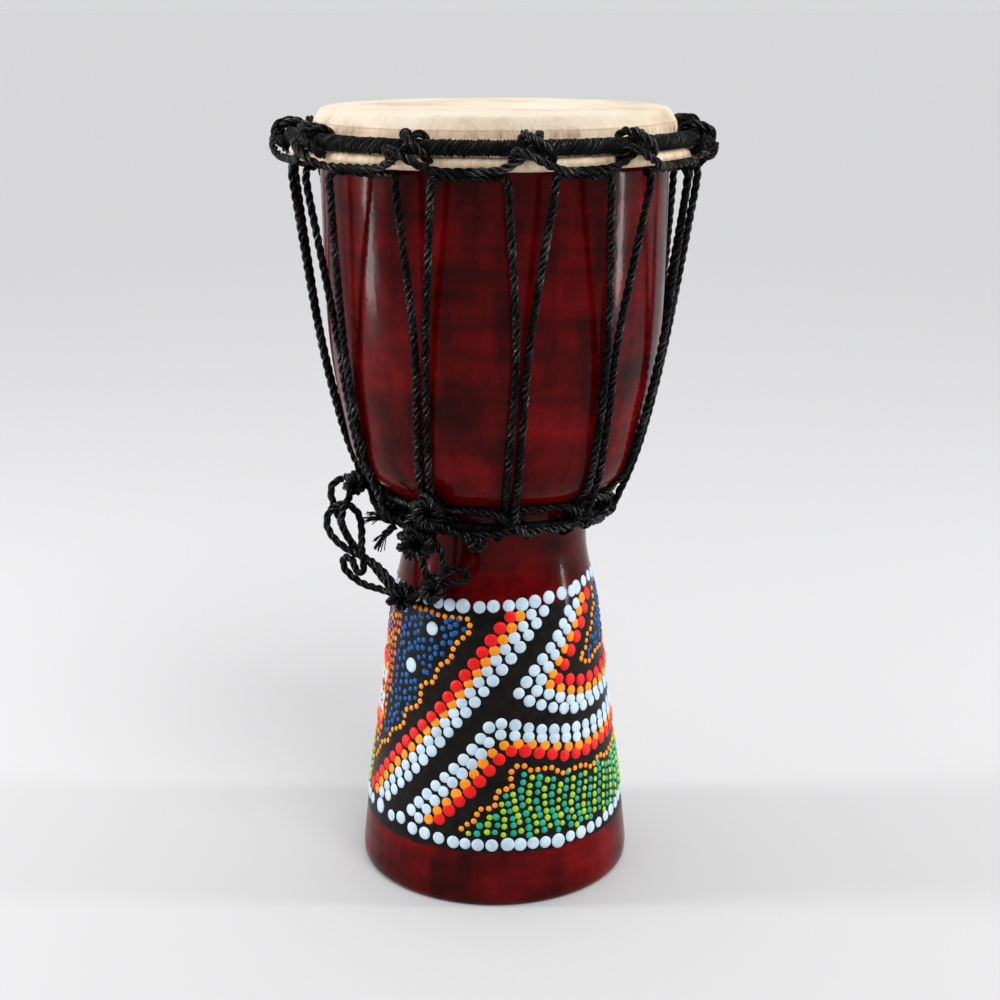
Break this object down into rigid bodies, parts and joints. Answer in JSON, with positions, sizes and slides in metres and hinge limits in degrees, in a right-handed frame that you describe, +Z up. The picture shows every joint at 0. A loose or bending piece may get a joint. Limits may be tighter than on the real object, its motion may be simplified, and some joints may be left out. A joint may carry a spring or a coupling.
{
  "type": "djembe",
  "caption": "Rope-tuned goblet hand drum: turned wooden shell, goat skin head lapped round a hoop, two wrapped hoops, cradle ropes, zigzag lacing and a chained spare end.",
  "frame": {"origin": "centre of the foot rim, on the surface the drum stands on", "axes": "+Z up along the drum's own axis to the head, -Y the painted front, +X to the right of it"},
  "size_m": [0.2241, 0.2218, 0.4],
  "materials": {
    "lacquered_shell": "deep maroon gloss lacquer, with a black hand-painted band of raised paint dots on the stem",
    "goat_skin": "bare cream goat skin, scraped, hair stubble left on the side",
    "rope": "black three-strand laid polypropylene rope, satin",
    "hoop_yarn": "black yarn wound closely round the hoop, matt",
    "hoop_steel": "plain round steel rod, welded into a hoop"
  },
  "bodies": {
    "root": {"shell": "lacquered_shell", "drumhead_skin": "goat_skin", "flesh_hoop": "hoop_steel", "crown_hoop": "hoop_steel", "waist_hoop": "hoop_steel", "crown_hoop_wrap": "hoop_yarn", "waist_hoop_wrap": "hoop_yarn", "upper_cradle_rope": "rope", "lower_cradle_rope": "rope", "waist_binding_rope": "rope", "lacing_rope": "rope", "spare_rope_chain": "rope", "spare_rope_return": "rope", "spare_rope_rise": "rope", "spare_rope_link": "rope", "spare_rope_fall": "rope", "spare_rope_bight": "rope", "spare_rope_short_end": "rope", "tie_knot_left": "rope", "tie_knot_front_upper": "rope", "tie_knot_front_lower": "rope", "spare_knot_first": "rope", "spare_knot_second": "rope"}
  },
  "joints": []
}
